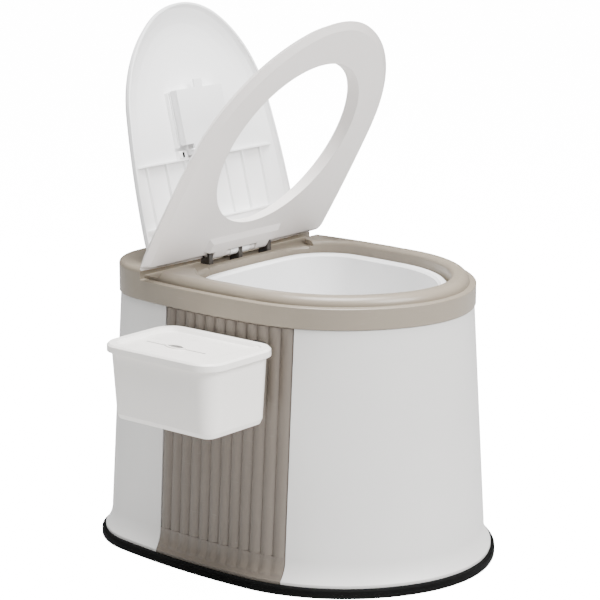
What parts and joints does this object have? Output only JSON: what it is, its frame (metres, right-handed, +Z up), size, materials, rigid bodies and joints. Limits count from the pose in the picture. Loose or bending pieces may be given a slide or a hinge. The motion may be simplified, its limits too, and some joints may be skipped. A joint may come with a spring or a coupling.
{
  "type": "camping toilet",
  "caption": "Free-standing camping toilet with panelled oval stand, lift-out bucket, hinged seat and lid, and a side-hung paper box.",
  "frame": {"origin": "on the floor under the middle of the stand's plan outline, on the underside of the base plate", "axes": "+Z up; -Y is the front, where the sitter's knees are; +Y is the hinge end; the paper box hangs on the -X side"},
  "size_m": [0.4215, 0.422, 0.5632],
  "materials": {
    "panel_white": "fine satin moulded plastic",
    "rim_taupe": "satin moulded plastic",
    "flute_taupe": "satin moulded plastic, fluted",
    "trim_black": "matt rubber",
    "base_grey": "matt moulded plastic",
    "seat_white": "semi-gloss moulded plastic",
    "lid_white": "semi-gloss moulded plastic",
    "holder_white": "semi-gloss moulded plastic",
    "bucket_white": "semi-gloss moulded plastic",
    "box_white": "gloss moulded plastic",
    "hinge_dark": "satin moulded plastic",
    "steel": "brushed steel"
  },
  "bodies": {
    "stand": {"base_plate": "base_grey", "foot_trim": "trim_black", "front_panel": "panel_white", "rear_panel": "panel_white", "side_panel_left": "flute_taupe", "side_panel_right": "flute_taupe", "base_screws": "steel", "rim_ring": "rim_taupe", "rim_screws": "steel", "hinge_bracket": "hinge_dark", "hinge_screws": "steel"},
    "pin": {"hinge_pin": "steel"},
    "seat": {"seat": "seat_white"},
    "lid": {"lid": "lid_white", "deodoriser_holder": "holder_white"},
    "deodoriser_cover": {"deodoriser_cover": "holder_white"},
    "bucket": {"bucket": "bucket_white"},
    "paper_box": {"paper_box": "box_white"},
    "paper_box_cover": {"paper_box_cover": "box_white"}
  },
  "joints": [
    {"name": "pin_turn", "type": "hinge", "parent": "stand", "child": "pin", "pos_m": [0, 0.102, 0.305], "axis": [-1, 0, 0], "range_deg": [-59, 0]},
    {"name": "seat_hinge", "type": "hinge", "parent": "pin", "child": "seat", "pos_m": [0, 0.102, 0.305], "axis": [1, 0, 0], "range_deg": [-44, 59]},
    {"name": "lid_hinge", "type": "hinge", "parent": "pin", "child": "lid", "pos_m": [0, 0.102, 0.305], "axis": [1, 0, 0], "range_deg": [0, 45]},
    {"name": "deodoriser_cover_turn", "type": "hinge", "parent": "lid", "child": "deodoriser_cover", "pos_m": [0, 0.13919, 0.4091], "axis": [1, 0, 0], "range_deg": [0, 60]},
    {"name": "bucket_lift", "type": "slide", "parent": "stand", "child": "bucket", "axis": [0, 0, -1], "range_m": [-0.018, 0]},
    {"name": "paper_box_lift", "type": "slide", "parent": "stand", "child": "paper_box", "axis": [0, 0, 1], "range_m": [0, 0.012]},
    {"name": "paper_cover_lift", "type": "slide", "parent": "paper_box", "child": "paper_box_cover", "axis": [0, 0, 1], "range_m": [0, 0.02]}
  ]
}
